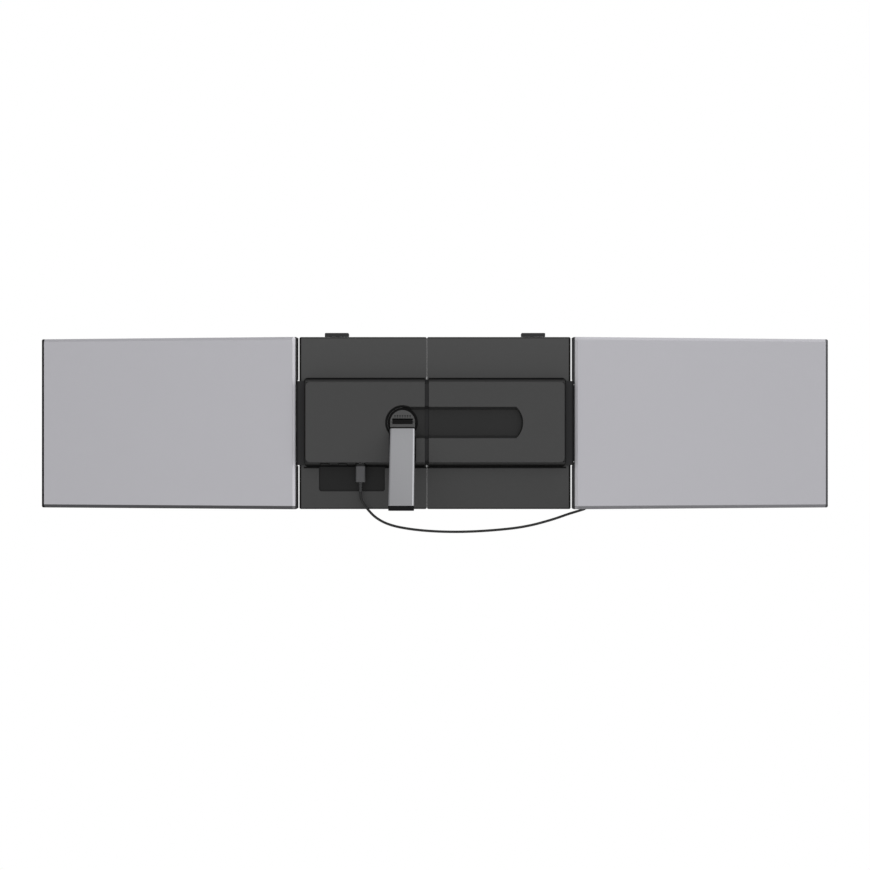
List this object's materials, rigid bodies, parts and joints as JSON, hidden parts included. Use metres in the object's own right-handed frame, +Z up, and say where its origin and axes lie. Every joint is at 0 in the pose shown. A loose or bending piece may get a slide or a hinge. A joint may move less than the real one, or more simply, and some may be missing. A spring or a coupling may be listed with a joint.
{
  "type": "laptop screen extender",
  "caption": "Two hinged silver screens on a dark telescoping frame with lid clips, a folding kickstand and a hub lead; hangs on the back of a laptop lid.",
  "frame": {"origin": "on the face of a rubber lid pad of the right half, at half the frame's height, where the frame rests against the laptop's lid", "axes": "+Z up, +X to the right as seen from the rear, +Y towards the laptop's lid and the user; the kickstand is at -Y"},
  "size_m": [0.9677, 0.1775, 0.2396],
  "materials": {
    "silver": "fine satin anodised",
    "plate": "dark grey, fine matt grain",
    "housing": "dark grey moulded, fine grain",
    "dark_plastic": "near black moulded",
    "head": "dark grey moulded",
    "steel": "plain stamped",
    "leg_silver": "bead-blasted, satin",
    "rubber": "matt",
    "glass": "glossy black cover glass",
    "display": "dark display",
    "board": "green solder mask",
    "plug_grey": "moulded grey",
    "lead_black": "smooth PVC jacket"
  },
  "bodies": {
    "right_frame": {"right_back_plate": "plate", "right_front_plate": "plate", "right_housing_cover": "housing", "right_lid_pads": "rubber", "right_plate_screws": "steel", "right_hinge_bracket": "steel", "right_hinge_pin": "steel", "right_hinge_cover": "dark_plastic", "right_hinge_screws": "steel", "rail_carriages": "dark_plastic"},
    "left_frame": {"left_back_plate": "plate", "left_front_plate": "plate", "left_housing_cover": "housing", "left_lid_pads": "rubber", "left_plate_screws": "steel", "left_hinge_bracket": "steel", "left_hinge_pin": "steel", "left_hinge_cover": "dark_plastic", "left_hinge_screws": "steel", "slide_sleeve": "dark_plastic", "guide_rails": "steel", "rail_mounts": "dark_plastic", "hub_board": "board", "usb_c_sockets": "steel", "usb_plug_body": "plug_grey", "usb_plug_shell": "steel", "lead_boot": "lead_black", "link_lead": "lead_black"},
    "kickstand_head": {"swivel_base": "head", "swivel_washer": "steel", "swivel_screw": "steel", "tilt_pin": "steel"},
    "kickstand_leg": {"leg_core": "head", "leg_cover": "leg_silver", "leg_foot": "rubber"},
    "left_screen": {"left_rear_cover": "silver", "left_mid_frame": "dark_plastic", "left_front_glass": "glass", "left_lcd_module": "display", "left_driver_board": "board", "left_hinge_leaf": "steel", "left_leaf_screws": "steel"},
    "right_screen": {"right_rear_cover": "silver", "right_mid_frame": "dark_plastic", "right_front_glass": "glass", "right_lcd_module": "display", "right_driver_board": "board", "right_hinge_leaf": "steel", "right_leaf_screws": "steel", "lead_gland": "rubber"},
    "left_clip": {"left_clip_hook": "dark_plastic", "left_clip_arm": "steel", "left_clip_pad": "rubber"},
    "left_power_key": {"left_power_button": "dark_plastic"},
    "left_menu_key": {"left_menu_button": "dark_plastic"},
    "right_clip": {"right_clip_hook": "dark_plastic", "right_clip_arm": "steel", "right_clip_pad": "rubber"},
    "right_power_key": {"right_power_button": "dark_plastic"},
    "right_menu_key": {"right_menu_button": "dark_plastic"}
  },
  "joints": [
    {"name": "center_slide", "type": "slide", "parent": "right_frame", "child": "left_frame", "axis": [-1, 0, 0], "range_m": [0, 0.06]},
    {"name": "left_screen_hinge", "type": "hinge", "parent": "left_frame", "child": "left_screen", "pos_m": [-0.1646, 0.004, 0], "axis": [0, 0, 1], "range_deg": [-170, 10]},
    {"name": "right_screen_hinge", "type": "hinge", "parent": "right_frame", "child": "right_screen", "pos_m": [0.1646, 0.00875, 0], "axis": [0, 0, -1], "range_deg": [-170, 10]},
    {"name": "kickstand_swivel", "type": "hinge", "parent": "left_frame", "child": "kickstand_head", "pos_m": [-0.0386, -0.017, 0.0005], "axis": [0, 1, 0], "range_deg": [-90, 0]},
    {"name": "kickstand_tilt", "type": "hinge", "parent": "kickstand_head", "child": "kickstand_leg", "pos_m": [-0.0386, -0.017, 0.002], "axis": [-1, 0, 0], "range_deg": [-43.5, 20]},
    {"name": "left_clip_slide", "type": "slide", "parent": "left_frame", "child": "left_clip", "axis": [0, 0, 1], "range_m": [0, 0.025]},
    {"name": "right_clip_slide", "type": "slide", "parent": "right_frame", "child": "right_clip", "axis": [0, 0, 1], "range_m": [0, 0.025]},
    {"name": "left_power_press", "type": "slide", "parent": "left_screen", "child": "left_power_key", "axis": [0.9848, -0.1736, 0], "range_m": [0, 0.0005], "stiffness_N_per_m": 1200, "springref_m": -0.0008},
    {"name": "left_menu_press", "type": "slide", "parent": "left_screen", "child": "left_menu_key", "axis": [0.9848, -0.1736, 0], "range_m": [0, 0.0005], "stiffness_N_per_m": 1200, "springref_m": -0.0008},
    {"name": "right_power_press", "type": "slide", "parent": "right_screen", "child": "right_power_key", "axis": [-0.9848, -0.1736, 0], "range_m": [0, 0.0005], "stiffness_N_per_m": 1200, "springref_m": -0.0008},
    {"name": "right_menu_press", "type": "slide", "parent": "right_screen", "child": "right_menu_key", "axis": [-0.9848, -0.1736, 0], "range_m": [0, 0.0005], "stiffness_N_per_m": 1200, "springref_m": -0.0008}
  ]
}
